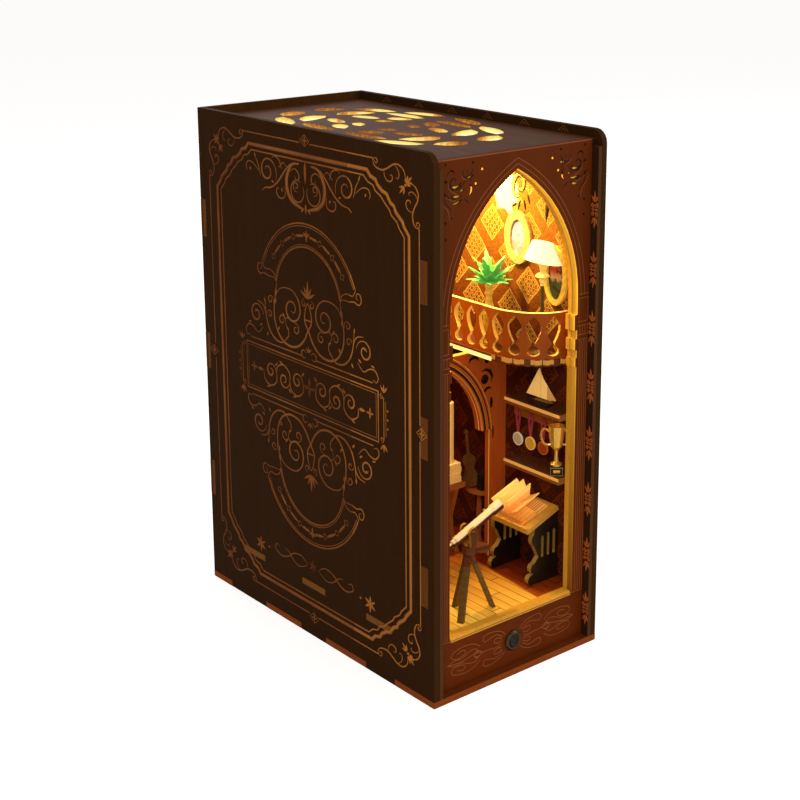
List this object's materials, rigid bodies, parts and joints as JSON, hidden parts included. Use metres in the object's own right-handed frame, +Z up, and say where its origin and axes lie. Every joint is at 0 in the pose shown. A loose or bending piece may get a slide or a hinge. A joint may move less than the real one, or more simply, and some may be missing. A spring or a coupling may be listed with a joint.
{
  "type": "book nook",
  "caption": "Lit book nook: narrow ply case with a pointed arch front, pierced top, furnished two storey reading room, telescope and push switch in the plinth.",
  "frame": {"origin": "centre of the footprint, at the underside of the base plate", "axes": "+Z up; the arched front looks towards -Y; +X is to the right seen from the front"},
  "size_m": [0.098, 0.174, 0.24],
  "materials": {
    "cover_ply": "dark stained ply, satin",
    "panel_ply": "red brown stained ply, satin",
    "gilt_ply": "gold painted ply",
    "wallpaper": "ply faced with printed damask paper",
    "planks": "varnished plank print",
    "room_wood": "stained basswood, satin",
    "dark_wood": "dark stained basswood, satin",
    "paper": "aged cream paper",
    "gold": "polished gold tone",
    "silver": "satin silver tone",
    "bronze": "satin bronze tone",
    "leaf": "soft green plastic",
    "ivory": "ivory tone",
    "black": "satin black",
    "switch_metal": "dark nickel",
    "diffuser": "milk white sheet, lit",
    "shade": "milk white shade, lit",
    "circuit": "circuit board with a lit lens",
    "cell_wrap": "plain cell wrap",
    "wire": "insulated wire"
  },
  "bodies": {
    "case": {"base_plate": "panel_ply", "left_cover": "cover_ply", "right_cover": "cover_ply", "left_wall_liner": "wallpaper", "right_wall_liner": "wallpaper", "back_panel": "cover_ply", "back_wall_liner": "wallpaper", "front_arch_panel": "panel_ply", "front_arch_frame": "gilt_ply", "plinth_board": "panel_ply", "door_sill": "gilt_ply", "top_panel": "cover_ply", "light_diffuser": "diffuser", "room_floor": "planks", "gallery_floor": "gilt_ply", "gallery_railing": "room_wood", "arch_screen": "room_wood", "screen_rib": "gilt_ply", "upper_shelf": "planks", "lower_shelf": "planks", "medal_rail": "room_wood", "trophy_base": "black", "trophy_cup": "gold", "boat_hull": "dark_wood", "boat_sails": "paper", "picture_frame_rear": "gilt_ply", "picture_frame_front": "gilt_ply", "lamp_stand": "ivory", "lamp_bulb": "shade", "lamp_shade": "shade", "plant_vase": "ivory", "palm_leaves": "leaf", "lectern_side_front": "dark_wood", "lectern_side_rear": "dark_wood", "lectern_tie": "dark_wood", "lectern_top": "gilt_ply", "open_book": "paper", "telescope_tripod": "room_wood", "writing_desk": "room_wood", "book_stack": "paper", "paper_scroll": "paper", "wall_ledge": "room_wood", "violin": "room_wood", "small_clock": "black", "button_bezel": "switch_metal", "button_nut": "switch_metal", "switch_body": "black", "battery_tray": "black", "battery_cell_rear": "cell_wrap", "battery_cell_front": "cell_wrap", "light_board": "circuit", "light_lead": "wire", "switch_lead": "wire"},
    "push_button": {"button_cap": "black"},
    "battery_hatch": {"battery_door": "cover_ply"},
    "telescope_head": {"telescope_fork": "gilt_ply"},
    "telescope": {"telescope_tube": "ivory"},
    "silver_medal": {"medal_1": "silver"},
    "gold_medal": {"medal_2": "gold"},
    "bronze_medal": {"medal_3": "bronze"}
  },
  "joints": [
    {"name": "button_press", "type": "slide", "parent": "case", "child": "push_button", "axis": [0, 1, 0], "range_m": [0, 0.0015], "stiffness_N_per_m": 250, "springref_m": -0.001},
    {"name": "battery_door_pull", "type": "slide", "parent": "case", "child": "battery_hatch", "axis": [0, 1, 0], "range_m": [0, 0.008]},
    {"name": "telescope_pan", "type": "hinge", "parent": "case", "child": "telescope_head", "pos_m": [-0.0135, -0.0685, 0.059], "axis": [0, 0, 1], "range_deg": [-60, 60]},
    {"name": "telescope_tilt", "type": "hinge", "parent": "telescope_head", "child": "telescope", "pos_m": [-0.0135, -0.0685, 0.066], "axis": [0, -1, 0], "range_deg": [-26, 16]},
    {"name": "silver_medal_swing", "type": "hinge", "parent": "case", "child": "silver_medal", "pos_m": [0.0413, -0.0413, 0.1012], "axis": [1, 0, 0], "range_deg": [-8, 8]},
    {"name": "gold_medal_swing", "type": "hinge", "parent": "case", "child": "gold_medal", "pos_m": [0.0413, -0.0498, 0.1012], "axis": [1, 0, 0], "range_deg": [-8, 8]},
    {"name": "bronze_medal_swing", "type": "hinge", "parent": "case", "child": "bronze_medal", "pos_m": [0.0413, -0.0583, 0.1012], "axis": [1, 0, 0], "range_deg": [-8, 8]}
  ]
}
